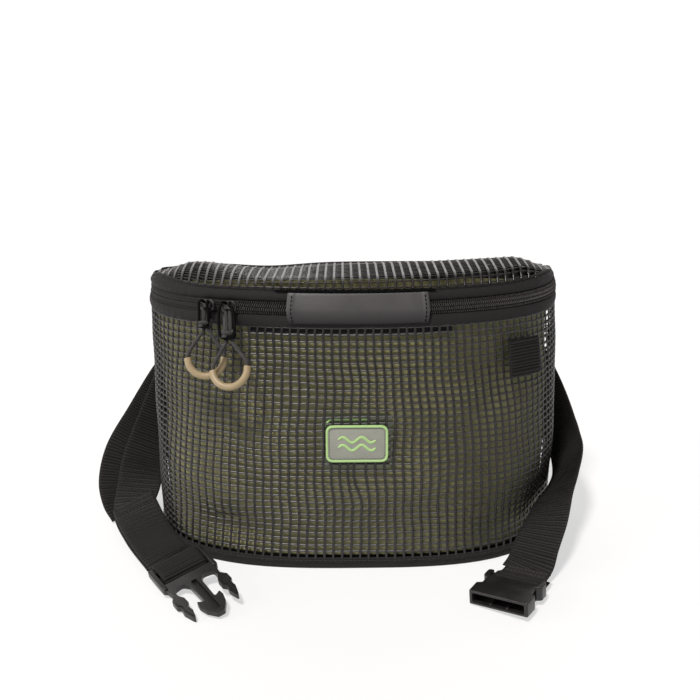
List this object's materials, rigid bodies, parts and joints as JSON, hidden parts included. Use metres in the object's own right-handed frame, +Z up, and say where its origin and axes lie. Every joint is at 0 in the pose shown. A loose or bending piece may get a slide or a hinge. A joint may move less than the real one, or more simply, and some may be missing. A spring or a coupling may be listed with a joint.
{
  "type": "waist pouch",
  "caption": "Soft waist pouch with a coated net wall over an olive liner, a zipped net lid, corded zip pulls and side straps ending in an open side-release buckle.",
  "frame": {"origin": "on the floor plane at the base panel's underside, below the middle of the lid", "axes": "+Z up, -Y toward the front with the badge, +X toward the wearer's left strap with the buckle housing"},
  "size_m": [0.4328, 0.2303, 0.2327],
  "materials": {
    "coated_net": "coated net, satin",
    "black_cloth": "woven black cloth",
    "coated_cloth": "smooth coated cloth, satin",
    "zip_coil": "nylon coil",
    "olive_cloth": "plain woven olive cloth",
    "webbing": "ribbed black webbing",
    "moulded_black": "satin moulding",
    "black_metal": "black lacquered metal",
    "pull_cord": "thin braided cord",
    "tan_tube": "matte tan tube",
    "badge_rubber": "soft moulded rubber, satin"
  },
  "bodies": {
    "root": {"mesh_wall": "coated_net", "lid_mesh": "coated_net", "base_panel": "black_cloth", "base_binding": "black_cloth", "back_panel": "black_cloth", "zip_band_lower": "black_cloth", "zip_band_upper": "black_cloth", "badge_backing": "black_cloth", "zip_flap": "coated_cloth", "zip_chain": "zip_coil", "liner": "olive_cloth", "liner_floor": "olive_cloth", "webbing_tab": "webbing", "left_strap": "webbing", "left_strap_fold": "webbing", "left_strap_tail": "webbing", "right_strap": "webbing", "male_buckle": "moulded_black", "female_buckle": "moulded_black", "zip_slider_left": "black_metal", "zip_slider_right": "black_metal", "pull_hitch_left": "pull_cord", "pull_hitch_right": "pull_cord", "pull_cord_left_a": "pull_cord", "pull_cord_left_b": "pull_cord", "pull_cord_right_a": "pull_cord", "pull_cord_right_b": "pull_cord", "pull_grip_left": "tan_tube", "pull_grip_right": "tan_tube", "badge": "badge_rubber"}
  },
  "joints": []
}
